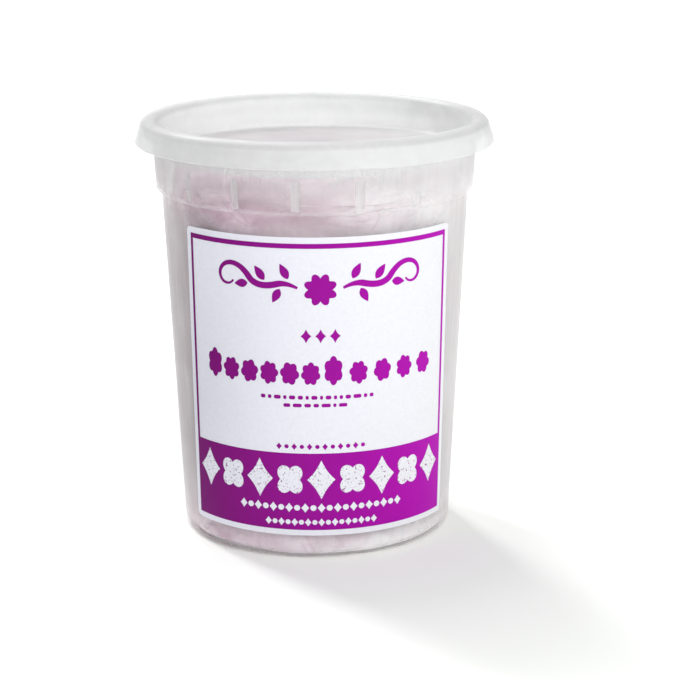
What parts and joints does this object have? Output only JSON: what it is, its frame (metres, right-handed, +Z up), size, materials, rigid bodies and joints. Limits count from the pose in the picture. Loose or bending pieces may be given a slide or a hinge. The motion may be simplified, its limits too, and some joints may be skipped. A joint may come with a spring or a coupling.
{
  "type": "tub of cotton candy",
  "caption": "Round translucent deli tub with a snap lid, packed with lilac cotton candy, with a square paper label wrapped on its front.",
  "frame": {"origin": "centre of the foot, on the plane that the tub stands on", "axes": "+Z up along the tub's axis, -Y towards the label's front, +X to the right when the label is read"},
  "size_m": [0.1184, 0.1184, 0.139],
  "materials": {
    "tub_plastic": "frosted translucent polypropylene",
    "lid_plastic": "frosted translucent polypropylene, a little whiter",
    "floss": "soft spun sugar, pale lilac",
    "label_paper": "satin coated paper with a purple print",
    "label_ink": "satin purple print"
  },
  "bodies": {
    "root": {"tub": "tub_plastic", "lid": "lid_plastic", "cotton_candy": "floss", "label": "label_paper"}
  },
  "joints": []
}
